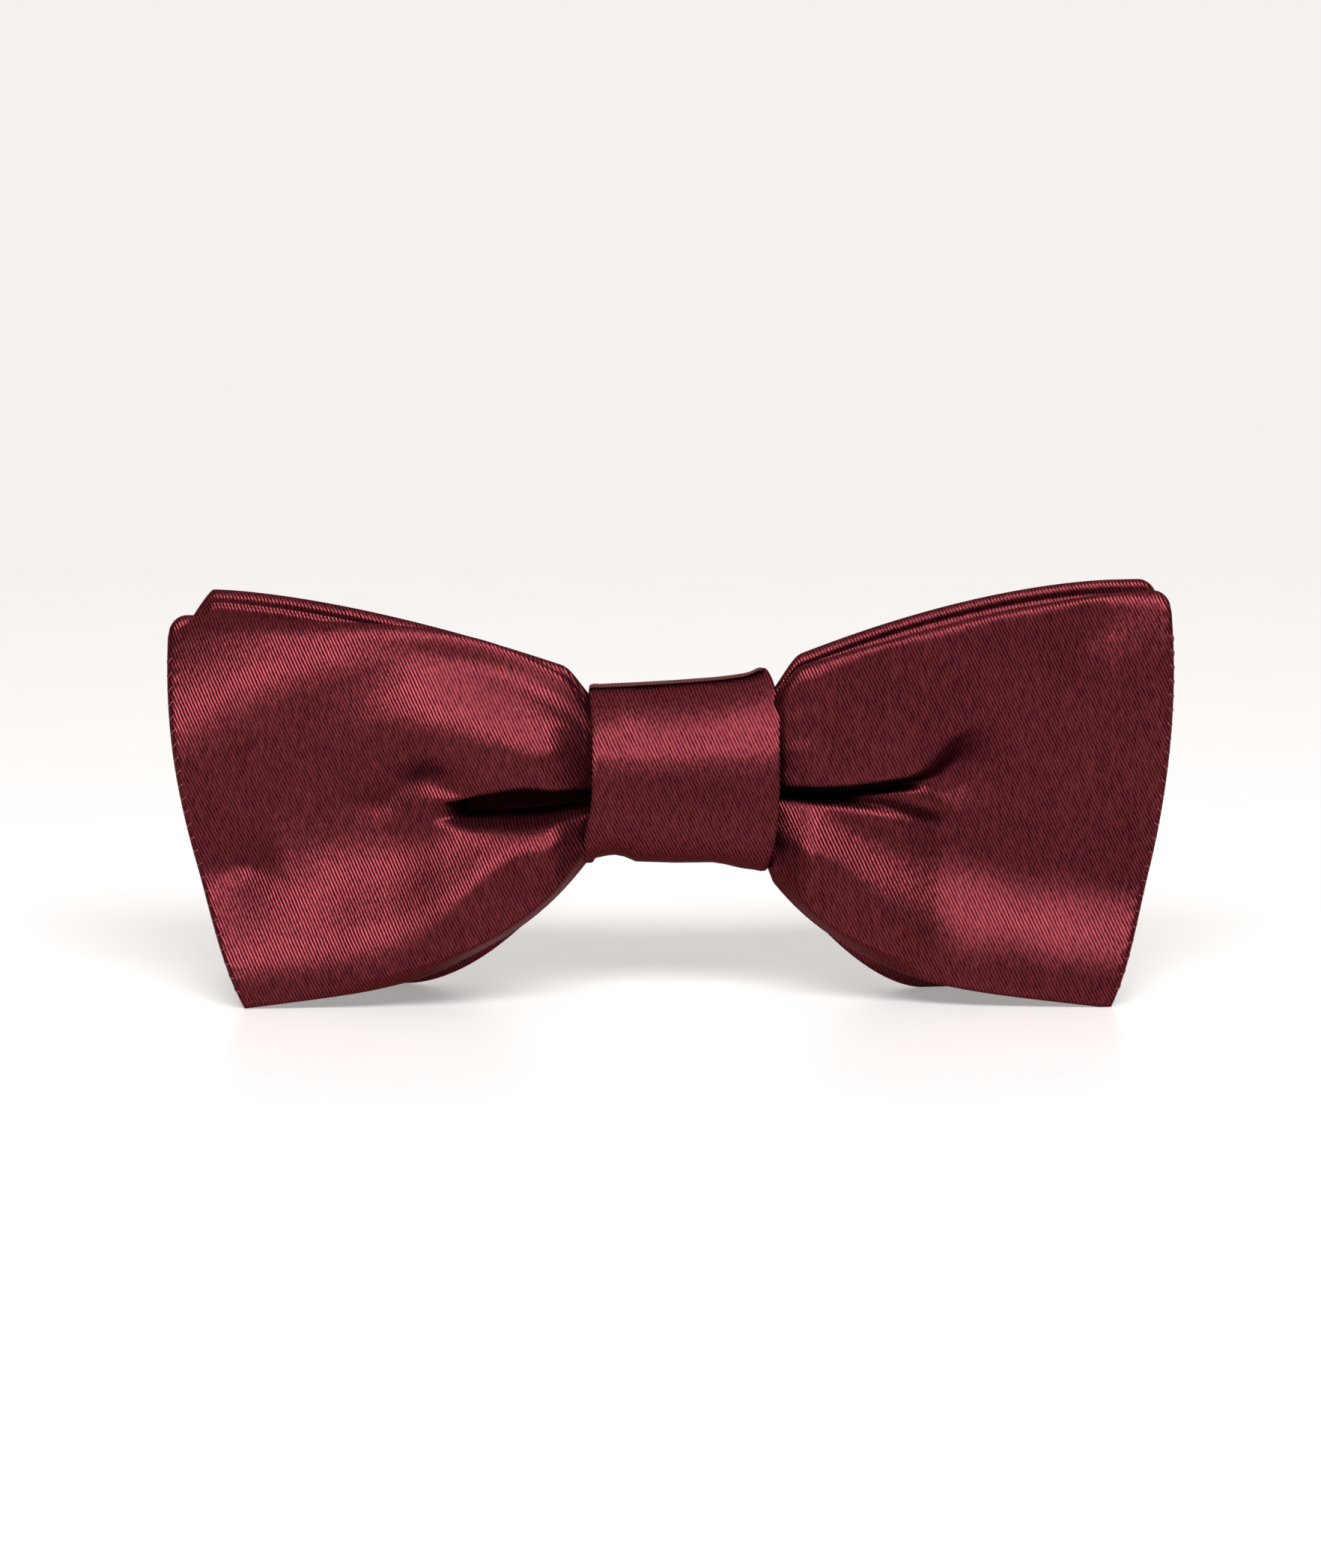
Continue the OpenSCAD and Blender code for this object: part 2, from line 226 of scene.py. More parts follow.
def bend_left(x, z):
    """How far both plies of the left front wing bend forward."""
    corner = np.clip(((x - 49) * 0.5 + (z - 32) * 0.87) / 9.5, 0, 1.6)
    f = apron_left(x, z) * ease((x - 20) / 10) - 2.5 * corner**2
    f += swell(x, z, (51.5, 16.6), (4.2, 3.0), -0.95, 25) + swell(x, z, (45, 17), (2.6, 5), 0.6, -22)
    f += swell(x, z, (38, 31), (12, 6), 0.3)
    return f


def puff_left(x, z):
    """How far the left front ply stands off the middle surface."""
    f = apron_left(x, z) * (1 - ease((x - 20) / 10))
    crest = [(8, 28.8), (20, 31.0), (32, 33.0), (45, 35), (60, 38)]
    edge = [(8, 38.0), (20, 42.5), (32, 45.5), (60, 48)]
    drop = [(8, 5.6), (18, 5.3), (26, 3.9), (33, 1.9), (40, 0.7), (48, 0.2), (60, 0)]
    f += terrace(x, z, crest, edge, drop)
    f += swell(x, z, (29, 29.5), (4, 2.2), 0.3)
    line = [(8, 24.6), (13, 24.7), (17, 24.6), (22, 24.0), (25, 23.6), (30, 23.6)]
    depth = [(8, 8), (20, 8), (23.5, 6), (25.5, 1.6), (28, 0)]
    width = [(8, 0.9), (13, 1.4), (17, 1.75), (22, 1.4), (26, 1.1)]
    f -= crease(x, z, line, depth, width, width, 7)
    line = [(18, 26.1), (22, 26.0), (26, 27.2), (29, 28.4), (31.5, 27.4), (34, 25.3), (38, 24.8),
            (46, 25.2)]
    depth = [(18, 0), (22, 0.5), (28, 1.0), (34, 0.8), (39, 0.5), (48, 0)]
    above = [(18, 1.1), (28, 1.5), (34, 2.0), (46, 5)]
    below = [(18, 1.4), (28, 2.0), (34, 3.0), (46, 6)]
    return f - crease(x, z, line, depth, above, below, 2.6)


def apron_right(x, z):
    """The lower half of the right front wing: a slope that starts beside the knot and widens."""
    low = [(10, 22.0), (14, 20.4), (20, 16.4), (28, 8.6), (34, 4.6), (40, 3.2), (50, 2.4), (62, 2.2)]
    high = [(10, 25.8), (14, 25.0), (20, 23.4), (28, 21.0), (36, 19.4), (46, 17.2), (54, 15.6), (62, 15)]
    drop = [(10, 1.7), (14, 2.1), (20, 3.0), (28, 4.3), (40, 5.4), (52, 5.4), (62, 4.4)]
    return terrace(x, z, low, high, drop)


# The line of the slit beside the knot, which bends upwards where it ends.
SLIT_RIGHT = [(10, 26.2), (18, 26.3), (26, 26.8), (31, 27.5), (35, 29.8), (39, 31.2), (50, 32)]


def bend_right(x, z):
    """How far both plies of the right front wing bend forward."""
    f = apron_right(x, z) * ease((x - 20) / 12)
    shelf = along(x, [(8, 1.0), (13, 2.8), (18, 4.0), (28, 3.1), (40, 1.2), (52, 0)])
    wide = along(x, [(10, 1.6), (28, 1.9), (36, 6), (46, 9)])
    f += shelf * ease((z - along(x, SLIT_RIGHT)) / wide + 0.3)
    f += swell(x, z, (60, 54), (12, 9), -3.4) + swell(x, z, (47, 25), (9, 6), -0.5, 30)
    f += swell(x, z, (50, 44.5), (5, 3.0), -0.6, 30)
    return f


def puff_right(x, z):
    """How far the right front ply stands off the middle surface."""
    f = apron_right(x, z) * (1 - ease((x - 20) / 12))
    bulge = along(x, [(8, 2.4), (14, 2.4), (22, 1.6), (32, 0)])
    f += bulge * (1 - ease((z - along(x, SLIT_RIGHT) + 1.6) / 1.4))
    f += swell(x, z, (29, 23.6), (6.5, 2.3), 0.9, -12)
    depth = [(10, 2.6), (20, 2.2), (27, 1.8), (31, 1.4), (35, 1.0), (38, 0.6), (42, 0)]
    above = [(10, 0.5), (22, 0.6), (29, 0.9), (33, 2.8), (38, 4)]
    below = [(10, 0.9), (22, 0.9), (29, 1.1), (33, 3.4), (38, 5)]
    f -= crease(x, z, SLIT_RIGHT, depth, above, below, 3)
    line = [(14, 25.4), (20, 24.9), (26, 23.9), (32, 22.3), (40, 21)]
    depth = [(14, 0), (19, 1.4), (26, 1.8), (30.5, 1.5), (35.5, 0)]
    above = [(14, 0.8), (26, 1.3), (34, 2.4)]
    below = [(14, 0.7), (26, 1.1), (34, 2.2)]
    return f - crease(x, z, line, depth, above, below, 2.4)


def no_bend(x, z):
    return 0 * x


def puff_rear(x, z):
    """The rear sleeve's front ply: a plain bulge beside the knot."""
    return swell(x, z, (14, 27), (15, 11), 1.7)


def puff_back(x, z):
    """A ply that faces backwards, flattened by what lies behind it."""
    depth, above, below = [(8, 2.0), (20, 1.6), (34, 0)], [(8, 0.9), (34, 4)], [(8, 1.0), (34, 4)]
    return swell(x, z, (16, 27), (18, 11), 1.4) - crease(x, z, [(8, 27), (60, 26)], depth, above, below)


# %% The four wings
front_left = Wing(
    -1, heel=half_w - 9.6, tip=9.5, lean=90, top=(left_h, 8.3, 9.3, 33.3, 3),
    foot=(16.7, 9.8, 40.4, 4.3, 0.34), corner=(2.7, 2.7), depth=(front_y, front_y + 0.6, 1.6), soft=(6, 3))
front_right = Wing(
    1, heel=half_w - 7.3, tip=7.4, lean=105, top=(right_h, 9.2, 11.5, 45, 1.6),
    foot=(14.7, 12.2, 39, 4.6, 0.34), corner=(2.6, 2.6), depth=(front_y, front_y + 1.4, 1.6), soft=(2.6, 3))
rear_left = Wing(
    -1, heel=half_w - 10.6, tip=8.9, lean=90, top=(left_h + 2, 9, 9.5, 44, 1.7),
    foot=(17, 9.6, 22.6, 1.8, 0), corner=(3.8, 4.6), depth=(rear_y, rear_hi[1] - 1.4, 1.9))
rear_right = Wing(
    1, heel=half_w - 10, tip=9.0, lean=100, top=(right_h + 0.5, 10.2, 11.5, 42, 1.75),
    foot=(15.4, 12.2, 18.4, 1.7, 0), corner=(3.2, 3.2), depth=(rear_y, core_y + 7.6, 1.8))

# Each sleeve's wings, each with its bend and with how far its front and back plies puff out.
SLEEVES = {
    "front": [(front_left, (bend_left, puff_left, puff_back)),
              (front_right, (bend_right, puff_right, puff_back))],
    "rear": [(rear_left, (no_bend, puff_rear, puff_back)),
             (rear_right, (no_bend, puff_rear, puff_back))],
}
for sleeve, wings in SLEEVES.items():
    print(sleeve, "wings reach", [round(float(wing.reach(1)), 1) for wing, _ in wings], "mm")

# %% [markdown]
# ## A sleeve as one grid
#
# A sleeve is a strip folded into a tube. It could be modelled as a box that is cut and
# sculpted, but a tube that is bent from one grid keeps even quads, so the satin's threads can
# follow the cloth. The grid runs along the bow in one direction and round the tube in the
# other: up the front ply, over the top fold and down the back ply.

# %% Points of a sleeve
FRONT_ROWS, BACK_ROWS, WING_COLS, CORE_COLS = 128, 64, 104, 14
FOLD_R = 1.9            # run over which a folded edge rounds off
SEAM_R = 0.7            # run over which a sewn end rounds off
HALF_T = 0.95           # from a sleeve's middle surface to its plain outside
SLACK = 0.16            # height of the gentle waves all over the cloth
BACK_SEAM = 21.5        # height of the long seam in each back ply


def spread(n):
    """n + 1 steps from 0 to 1 that crowd a little at both ends."""
    t = np.linspace(0, 1, n + 1)
    return 0.45 * t + 0.55 * (0.5 - 0.5 * np.cos(np.pi * t))


def lip(wing, x, z):
    """How far the upper lip of a front wing's slit hangs down over the slit."""
    if wing is front_left:
        drop = [(8, 0.4), (16, 0.6), (23, 0.7), (27, 0.4), (31, 0)]
        line = [(8, 27.4), (23, 26.8), (31, 27)]
    elif wing is front_right:
        drop, line = [(10, 0.4), (20, 0.9), (29, 0.7), (34, 0)], [(10, 27.4), (24, 27.8), (34, 29.5)]
    else:
        return 0 * z
    return along(x, drop) * bell(z - along(x, line), 1.5)


def shadow(x, z, line, width, strength):
    """How deep a point lies in a fold, from 0 to 1: the satin's colour is darkened with it as painted shade.
    """
    return along(x, strength) * (1 - ease((np.abs(z - along(x, line)) / along(x, width) - 0.55) / 0.8))


def painted_fold_shade(wing, x, z):
    """Painted shade: the satin's colour is darkened deep inside the gathers and in a few dents beside the
    knot, where the cloth sees only itself.
    """
    if wing is front_left:
        deep = shadow(x, z, [(8, 24.9), (17, 25.0), (22, 24.4), (25, 23.9), (27, 24.2)],
                      [(8, 1.1), (13, 1.4), (17, 1.8), (22, 1.5), (25, 1.0), (27, 0.6)],
                      [(8, 1), (23, 1), (26, 0.5), (28, 0)])
        deep = np.maximum(deep, swell(x, z, (29.2, 28.2), (2.9, 1.3), 0.75, -8))
        return np.maximum(deep, swell(x, z, (33.8, 25), (4, 1.2), 0.4))
    if wing is front_right:
        deep = shadow(x, z, [(8, 26.0), (20, 25.8), (27, 26.5), (32, 27.4)],
                      [(8, 0.8), (16, 1.1), (22, 1.1), (28, 0.8), (32, 0.6)],
                      [(8, 1), (27, 0.95), (33, 0)])
        fork = shadow(x, z, [(16, 25.2), (20, 24.8), (26, 23.8), (32, 22.3)], [(16, 0.7), (32, 0.8)],
                      [(16, 0.6), (24, 0.75), (31, 0.85), (33.5, 0)])
        return np.maximum(np.maximum(deep, fork), swell(x, z, (34.8, 30.2), (3.8, 1.9), 0.6, 18))
    return 0 * z


def squeezed(u, z):
    """Heights at the gathers are drawn towards the knot's middle over a short run."""
    above = z > knot_z
    share, run = np.where(above, 0.68, 0.8), np.where(above, 0.1, 0.035)
    return knot_z + (z - knot_z) * mix(share, 1, ease(u / run))


def dimples(wing, u, z, to_top, to_seam):
    """Small dents where the end seam is sewn, and a hem line below a rear wing's top edge."""
    f = 0.04 * np.sin(2 * np.pi * z / 1.6) * bell(to_seam - 0.8, 0.5)
    if wing is front_right:
        f += 0.04 * np.sin(2 * np.pi * to_seam / 0.95) * bell(to_seam - 4, 2.4)
    if wing in (rear_left, rear_right):
        f -= 0.3 * bell(to_top - 1.5, 0.35) * ease(u / 0.1)
    return f


def pleats(facing, u, v, z):
    """Small folds that fan out from the gathers. A back ply also has the step of its long seam."""
    if facing <= 0:
        return 0.16 * np.sin(2 * np.pi * (v * 7.5 + 0.3)) * bell(u, 0.13)
    folds = 0.55 * (1 - np.cos(2 * np.pi * (v * 6.5 + 0.3))) * bell(u, 0.3)
    return -folds - 0.5 * bell(z - BACK_SEAM, 0.6) - 0.35 * ease((z - BACK_SEAM) / 0.9)


def ply(wing, u, v, facing, bend, puff):
    """Points of one ply in millimetres, each with its painted shade. facing is -1 for the front ply, 1 for
    the back ply and 0 for the middle surface."""
    x_out = wing.x_out(u, v)
    foot, top = wing.foot_z(x_out), wing.top_z(x_out, u)
    z = squeezed(u, mix(foot, top, v))
    y_knot, y_end, power = wing.depth
    middle = mix(y_knot, y_end, u**power) - bend(x_out, z) * ease(u / 0.06)
    to_top, to_foot = (1 - v) * (top - foot), v * (top - foot)
    to_seam = (1 - u) * (wing.reach(v) - 10)
    rim = quarter(np.minimum(to_top, to_foot), FOLD_R) * quarter(to_seam, SEAM_R)
    soft = ease(to_top / wing.soft[0] + 0.12) * ease(to_foot / wing.soft[1] + 0.12) * ease(to_seam / 14)
    gather = mix(0.28, 1, ease((u - 0.01) / 0.13))
    slack = SLACK * np.sin(x_out / 2.7 + z / 4.3 + wing.side) * np.sin(z / 3.1 - x_out / 6.1 + 2 * wing.side)
    off = rim * (HALF_T + dimples(wing, u, z, to_top, to_seam))
    off = off + soft * gather * (puff(x_out, z) + pleats(facing, u, v, z) + slack)
    # A ply keeps at least this far off the middle surface, so that the lining stays covered.
    least = (0.42 if facing > 0 else 0.15) * rim
    y = middle + facing * np.maximum(off, least)
    # Front plies get painted shade in their slits and dents, and back plies get a line of painted shade
    # along the groove of their long seam.
    if facing < 0:
        z = z - lip(wing, x_out, z)
        painted_dark = painted_fold_shade(wing, x_out, z)
    else:
        painted_dark = 0.7 * bell(z - BACK_SEAM, 0.5)
    return np.stack([wing.side * x_out, y, z, painted_dark], axis=-1)


def sleeve_points(wings):
    """A closed grid of points: columns along the bow, rows round the tube."""
    up, down = spread(FRONT_ROWS), spread(BACK_ROWS)[::-1][1:-1]
    wing_u = spread(WING_COLS)
    sides = []
    for wing, (bend, puff, back) in wings:
        u, v = np.meshgrid(wing_u, up, indexing="ij")
        front_ply = ply(wing, u, v, -1, bend, puff)
        u, v = np.meshgrid(wing_u, down, indexing="ij")
        sides.append(np.concatenate([front_ply, ply(wing, u, v, 1, bend, back)], axis=1))
    t = np.linspace(0, 1, CORE_COLS + 1)[1:-1, None, None]
    core = mix(sides[0][0], sides[1][0], t)
    core[..., 2] = knot_z + (core[..., 2] - knot_z) * (1 - 0.05 * np.sin(np.pi * t[..., 0]))
    return np.concatenate([sides[0][::-1], core, sides[1]], axis=0)


# %% Turn points into a piece
MERGE = 0.04            # points closer than this become one


def cloth_from(name, grids, closed_rows=True):
    """A mesh over one or more grids of points in millimetres. A point may have a fourth number, its painted
    shade."""
    points, painted_dark, quads, base = [], [], [], 0
    for grid in grids if isinstance(grids, list) else [grids]:
        cols, rows = grid.shape[:2]
        bands = rows if closed_rows else rows - 1
        c, r = (a.ravel() for a in np.meshgrid(np.arange(cols - 1), np.arange(bands), indexing="ij"))
        d, q = c + 1, (r + 1) % rows
        quads.append(base + np.stack([c * rows + r, d * rows + r, d * rows + q, c * rows + q], axis=1))
        points.append(grid[..., :3].reshape(-1, 3))
        painted_dark.append(grid[..., 3].ravel() if grid.shape[2] == 4 else np.zeros(cols * rows))
        base += cols * rows
    points, painted_dark, quads = np.concatenate(points), np.concatenate(painted_dark), np.concatenate(quads)
    mesh = bpy.data.meshes.new(name)
    mesh.from_pydata((points * MM).tolist(), [], quads.tolist())
    # Each point's painted shade is kept as a point attribute for the satin to read.
    mesh.attributes.new("painted_shade", "FLOAT", "POINT").data.foreach_set("value", painted_dark)
    piece = bpy.data.objects.new(name, mesh)
    bpy.context.collection.objects.link(piece)
    return piece


def finish_cloth(piece, thickness, offset=-1):
    """Merges doubled points, points the faces outwards and gives the ply its thickness."""
    bpy.ops.object.select_all(action="DESELECT")
    piece.select_set(True)
    bpy.context.view_layer.objects.active = piece
    bpy.ops.object.mode_set(mode="EDIT")
    bpy.ops.mesh.select_all(action="SELECT")
    bpy.ops.mesh.remove_doubles(threshold=MERGE * MM)
    bpy.ops.mesh.normals_make_consistent(inside=False)
    bpy.ops.object.mode_set(mode="OBJECT")
    if thickness:
        wall = piece.modifiers.new("ply", "SOLIDIFY")
        wall.thickness, wall.offset = thickness * MM, offset
        bpy.ops.object.modifier_apply(modifier=wall.name)
    bpy.ops.object.shade_smooth()
    piece.select_set(False)
    print(f"{piece.name}: {len(piece.data.polygons)} faces")
    return piece


# %% Sew the two sleeves
SATIN_PLY = 0.4

front = cloth_from("front_sleeve_satin", sleeve_points(SLEEVES["front"]))
finish_cloth(front, SATIN_PLY)
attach(front, "bow")
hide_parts("front_sleeve")

rear = cloth_from("rear_sleeve_satin", sleeve_points(SLEEVES["rear"]))
finish_cloth(rear, SATIN_PLY)
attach(rear, "bow")
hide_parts("rear_sleeve")

# %% [markdown]
# ## Interlinings
#
# A stiff cotton sheet lies between the two plies of each sleeve. It could be cut out of a plane
# and bent, but it is shaped from the same curves as the sleeve, so it follows the middle
# surface and stops short of the folds and seams.


# %% Cut the interlinings
LINING_T = 0.3
LINING_BACK = 0.22      # how far it lies behind the middle surface
LINING_GRID = 50


def interlining(name, node, wings):
    sides = []
    for wing, (bend, _, _) in wings:
        u, v = np.meshgrid(np.linspace(0, 0.955, LINING_GRID), np.linspace(0.07, 0.93, LINING_GRID),
                           indexing="ij")
        sheet = ply(wing, u, v, 0, bend, no_bend)
        sheet[..., 1] += LINING_BACK
        sides.append(sheet)
    piece = cloth_from(name, np.concatenate([sides[0][::-1], sides[1]], axis=0), closed_rows=False)
    finish_cloth(piece, LINING_T, offset=0)
    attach(piece, "bow")
    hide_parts(node)
    return piece


front_lining = interlining("front_lining", "front_interlining", SLEEVES["front"])
rear_lining = interlining("rear_lining", "rear_interlining", SLEEVES["rear"])

# %% [markdown]
# ## Gathering thread
#
# Strong thread is wound round the gathers before the knot goes on. A curve with a round bevel
# would do, but a strand swept along a helix is a mesh at once, and its turns lie side by side.


# %% Wind the gathering thread
def strand(path, radius, sides=8, beside=(1.0, 0.02, 0.01)):
    """The rings of a round strand along a path in millimetres that nowhere runs along beside."""
    path = np.array(path)
    ahead = np.gradient(path, axis=0)
    ahead /= np.linalg.norm(ahead, axis=1)[:, None]
    side = np.cross(ahead, beside)
    side /= np.linalg.norm(side, axis=1)[:, None]
    up = np.cross(ahead, side)
    a = np.linspace(0, 2 * np.pi, sides, endpoint=False)
    return path[:, None] + radius * (np.cos(a)[None, :, None] * side[:, None]
                                     + np.sin(a)[None, :, None] * up[:, None])


def threads(name, paths, radius, sides, node):
    """Every strand of one kind as one piece on the bow."""
    piece = cloth_from(name, [strand(path, radius, sides) for path in paths])
    close_ends(piece)
    finish_cloth(piece, 0)
    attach(piece, "bow")
    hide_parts(node)
    return piece


def close_ends(piece):
    """Fills the open ends of a tube."""
    bpy.ops.object.select_all(action="DESELECT")
    piece.select_set(True)
    bpy.context.view_layer.objects.active = piece
    bpy.ops.object.mode_set(mode="EDIT")
    bpy.ops.mesh.select_all(action="SELECT")
    bpy.ops.mesh.fill_holes(sides=0)
    bpy.ops.object.mode_set(mode="OBJECT")


TURNS, THREAD_R = 7, 0.19
TURN_STEPS = 48
WOUND_FRONT, WOUND_BACK, WOUND_UP = 5.5, 6.6, 7.4   # from the core's middle to the winding
SQUARE = 0.72           # 1 winds an ellipse, and less is squarer
a = np.linspace(0, 360 * TURNS, TURN_STEPS * TURNS)
c, s = np.cos(np.radians(a)), np.sin(np.radians(a))
helix = np.stack([
    knot_x + 2 * THREAD_R * 1.05 * (a / 360 - TURNS / 2),
    core_y - 0.2 - np.where(c > 0, WOUND_FRONT, WOUND_BACK) * np.sign(c) * np.abs(c) ** SQUARE,
    knot_z + WOUND_UP * np.sign(s) * np.abs(s) ** SQUARE,
], axis=-1)
winding = threads("gathering_winding", [helix], THREAD_R, 8, "gathering_thread")

# %% [markdown]
# ## Seam stitches
#
# The ends of each sleeve are sewn together from front to back. The overcast stitches are short
# strands that hug the edge, and a row of slip stitches closes the long seam on the back ply.
# Both take their points from the plies, so they lie on the cloth wherever it bends.


# %% Sew the seams
STITCH_R = 0.1


def end_stitches(wing, folds):
    """Strands that cross a wing's end seam from its front ply to its back ply."""
    bend, puff, back = folds
    paths = []
    for v in np.arange(0.05, 0.94, 0.036):
        spread_u = 1 - np.array([0.7, 0.4, 0.15]) / wing.reach(v)
        a = ply(wing, spread_u, np.full(3, v), -1, bend, puff)[..., :3] - [0, 0.08, 0]
        b = ply(wing, spread_u[::-1], np.full(3, v + 0.012), 1, bend, back)[..., :3] + [0, 0.08, 0]
        over = (a[-1] + b[0]) / 2 + [wing.side * 0.12, 0, 0]
        paths.append(np.concatenate([a, over[None], b]))
    return paths


def slip_stitches(wing, folds):
    """Short strands across the long seam of a back ply."""
    bend, _, back = folds
    paths = []
    for u in np.arange(0.2, 0.94, 0.045):
        x_out = wing.x_out(u, 0.5)
        foot, top = wing.foot_z(x_out), wing.top_z(x_out, u)
        v = (BACK_SEAM + np.array([-0.55, -0.2, 0.2, 0.55]) - foot) / (top - foot)
        slanted_u = u + np.array([0, 0.002, 0.005, 0.008])
        paths.append(ply(wing, slanted_u, v, 1, bend, back)[..., :3] + [0, 0.06, 0])
    return paths


seams = []
for sleeve, wings in SLEEVES.items():
    paths = []
    for wing, folds in wings:
        paths += end_stitches(wing, folds) + slip_stitches(wing, folds)
    seams.append(threads(f"{sleeve}_seam_stitches", paths, STITCH_R, 6, f"{sleeve}_seam_thread"))

# %% [markdown]
# ## Knot
#
# The knot is a strip folded into a flat band and wrapped round the gathers. Its edges are
# folds, a little thicker than its middle, and its right side flares. It could be a bent box,
# but here the band's cross-section is swept round a soft-cornered loop, and its outer end
# laps over its inner end at the back.

# %% Wrap the knot band
BAND_T = 0.95           # thickness of the folded band
LAP = 1.25              # how far out the lap lies over the inner end
UNDER = BAND_T / 2 + 0.3    # how far inside the band its lining lies
SLANT = 0.46            # how far the upper front leans back, over its height


def band_point(turn, across, out):
    """A point of the wrapped band: turn degrees from the front, across 0 to 1, out from its middle."""
    c, s = np.cos(np.radians(turn)), np.sin(np.radians(turn))
    left = along(s, [(-1, -10.3), (-0.6, -10.2), (0, -9.1), (1, -9.5)])
    right = along(s, [(-1, 11.6), (-0.3, 12.9), (0.25, 13.3), (0.7, 12.4), (1, 11.2)])
    x = mix(left, right, across)
    above = along(x, [(-11, 9.8), (-5, 10), (0, 10.3), (5, 10.7), (9, 11.3), (12, 12.4), (14, 12.5)])
    below = along(x, [(-10.6, 11), (-6.3, 10), (-3, 11), (5, 10.9), (9, 11.7), (14, 12.4)])
    high = np.where(s > 0, above, below)
    deep = np.where(c > 0, core_y - knot_lo[1] - BAND_T / 2 - 0.1, knot_hi[1] - core_y - 1.75)
    lap = LAP * ease((turn - 150) / 25)
    # The smaller a power, the squarer the loop's corners.
    power_y = np.where(c > 0, np.where(s > 0, 2 / 3.8, 2 / 3.0), 2 / 4)
    power_z = np.where(s > 0, 2 / 4.2, 2 / 3.4)
    y = core_y - (deep + out + lap) * np.sign(c) * np.abs(c) ** power_y
    high = high * np.where(s > 0, 1 - 0.15 * ease((0.7 - c) / 1.4), 1)
    z = knot_z + (high + out + 0.4 * lap) * np.sign(s) * np.abs(s) ** power_z
    up = z - knot_z
    lean = SLANT * (up - 1.5) * ease((up - 1.2) / 1.8)
    lean += swell(x, up, (-3.0, 9), (1.9, 5), 0.4, 12) + swell(x, up, (-4.5, -9), (1.8, 4), 0.3)
    lean -= swell(x, up, (5.5, 6), (3, 3), 0.35, -20) + swell(x, up, (-6.8, 5.5), (2.2, 2.6), 0.3)
    return np.stack([x, y + lean * ease(c / 0.5), z], axis=-1)


def band_points():
    """The strip's cross-section is a flat loop: outer ply, fold, inner ply, fold."""
    turn, ring = np.meshgrid(np.linspace(-192, 212, 170), np.linspace(0, 360, 56, endpoint=False),
                             indexing="ij")
    c, s = np.cos(np.radians(ring)), np.sin(np.radians(ring))
    boxy = 0.4          # 1 makes the section an ellipse, and less is closer to a flat strip
    wide, layer = -np.sign(c) * np.abs(c) ** boxy, np.sign(s) * np.abs(s) ** boxy
    rim = 1 + 0.3 * ease((np.abs(wide) - 0.86) / 0.1)
    return band_point(turn, 0.5 + 0.5 * wide, BAND_T / 2 * layer * rim)


knot = cloth_from("knot_band_satin", band_points())
close_ends(knot)
finish_cloth(knot, 0)
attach(knot, "bow")
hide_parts("knot_band")

turn, across = np.meshgrid(np.linspace(-178, 176, 90), np.linspace(0.07, 0.93, 24), indexing="ij")
knot_lining = cloth_from("knot_lining", band_point(turn, across, -UNDER), closed_rows=False)
finish_cloth(knot_lining, LINING_T, offset=0)
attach(knot_lining, "bow")
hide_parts("knot_interlining")

# %% [markdown]
# ## Clip springs
#
# Each jaw is shut by a torsion spring: a coil round the hinge pin with one leg on the plate
# and one under the thumb tab. When the jaw opens, the free leg turns with it and the coil
# winds up. Here each spring is one piece: a wire swept along one leg, the coil and the other leg.

# %% Wind the clip springs
WIRE_R, COIL_R, COIL_L, COIL_TURNS, COIL_POINTS = 0.2, 1.2, 3.6, 4.5, 100
LEG_Z, FREE_Z = COIL_L / 2 + 0.3, COIL_L / 2 + 0.1      # how far from the pin's middle each leg lies
springs = []
for joint in frame["joints"]:
    jaw = joint["child"]
    side_name = jaw.split("_")[1]
    side = -1 if side_name == "left" else 1
    hinge = np.array(joint["pos_m"]) / MM
    t = np.linspace(0, 1, COIL_POINTS)
    a = np.radians(270 + 360 * COIL_TURNS * t)
    coil = np.stack([COIL_R * np.cos(a), COIL_R * np.sin(a), COIL_L * (t - 0.5)], axis=-1)
    fixed_leg = [[-6, -2.3, -LEG_Z], [-4.5, -2.2, -LEG_Z], [-3, -2.1, -LEG_Z], [-1.5, -1.7, 0.15 - LEG_Z]]
    free_leg = [[-1.1, 1.3, COIL_L / 2 + 0.05], [-2.2, 1.5, FREE_Z], [-4.1, 2.35, FREE_Z], [-6, 3.2, FREE_Z]]
    path = hinge + np.concatenate([fixed_leg, coil, free_leg]) * [side, 1, 1]
    spring = cloth_from(f"spring_{side_name}", strand(path, WIRE_R, 8, beside=(0, 0, 1)))
    close_ends(spring)
    finish_cloth(spring, 0)
    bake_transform(spring)
    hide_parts(f"clip_spring_{side_name}")
    springs.append(spring)

# %% [markdown]
# ## Floor, light and camera
#
# Satin is all about its highlights. One wide softbox stands in front and above, so that cloth
# that tilts up shines and cloth that faces forward stays dark. A second, weaker light only
# evens out the table. The table and the wall behind it glow a little, as an overlit studio
# sweep does, and the camera looks down by ten degrees through a long lens.


# %% Floor, light and camera
def area_light(name, at, aim, size, power):
    data = bpy.data.lights.new(name, "AREA")
    data.shape, data.size, data.size_y = "RECTANGLE", size[0], size[1]
    data.energy = power
    lamp = bpy.data.objects.new(name, data)
    bpy.context.collection.objects.link(lamp)
    lamp.location = at
    lamp.rotation_euler = (Vector(aim) - Vector(at)).to_track_quat("-Z", "Y").to_euler()


area_light("softbox", (0.05, -0.6, 0.62), (0, 0, 0.02), (0.7, 0.28), 15.5)
area_light("table_light", (0, 0.3, 1.2), (0, 0.2, 0), (1.6, 0.8), 4)

